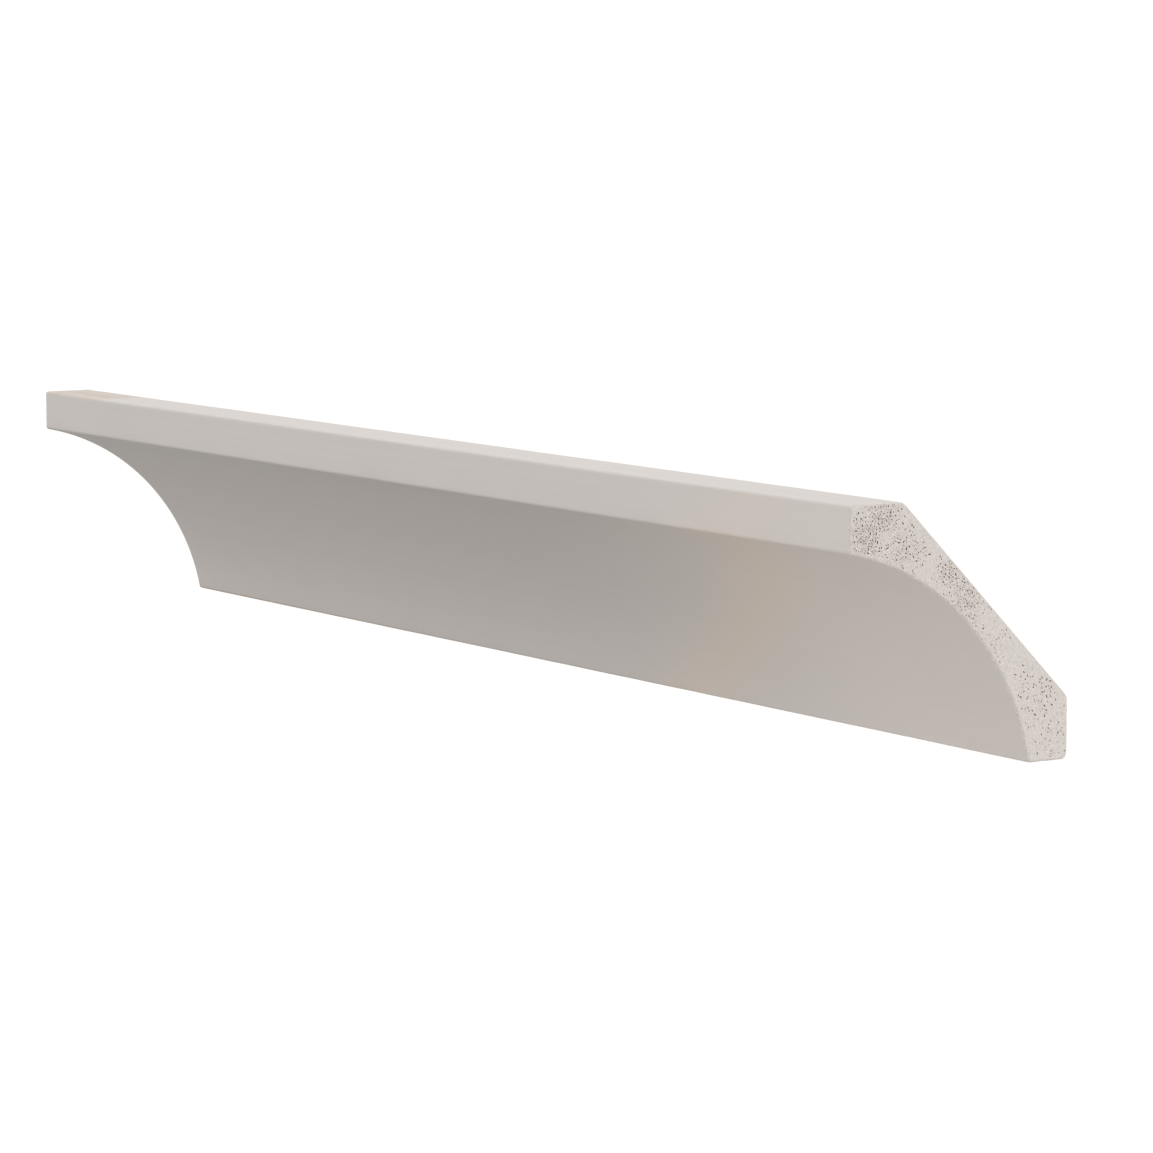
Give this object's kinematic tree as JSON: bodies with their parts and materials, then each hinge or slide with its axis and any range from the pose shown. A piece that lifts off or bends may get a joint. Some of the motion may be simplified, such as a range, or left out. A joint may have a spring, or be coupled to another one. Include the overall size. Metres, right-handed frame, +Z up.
{
  "type": "crown moulding",
  "caption": "Primed timber crown moulding with one broad cove between square fillets, sprung at 45 degrees between wall and ceiling and cut square at both ends.",
  "frame": {"origin": "middle of the flat bearing face that lies on the wall, halfway along the length", "axes": "+X along the length, +Y into the wall, +Z up to the ceiling; the cove faces the room, towards -Y and -Z"},
  "size_m": [0.355, 0.0539, 0.0539],
  "materials": {
    "primed_timber": "matt off-white primer over timber, thin enough on the cut ends to show brown pores"
  },
  "bodies": {
    "root": {"crown_moulding": "primed_timber"}
  },
  "joints": []
}
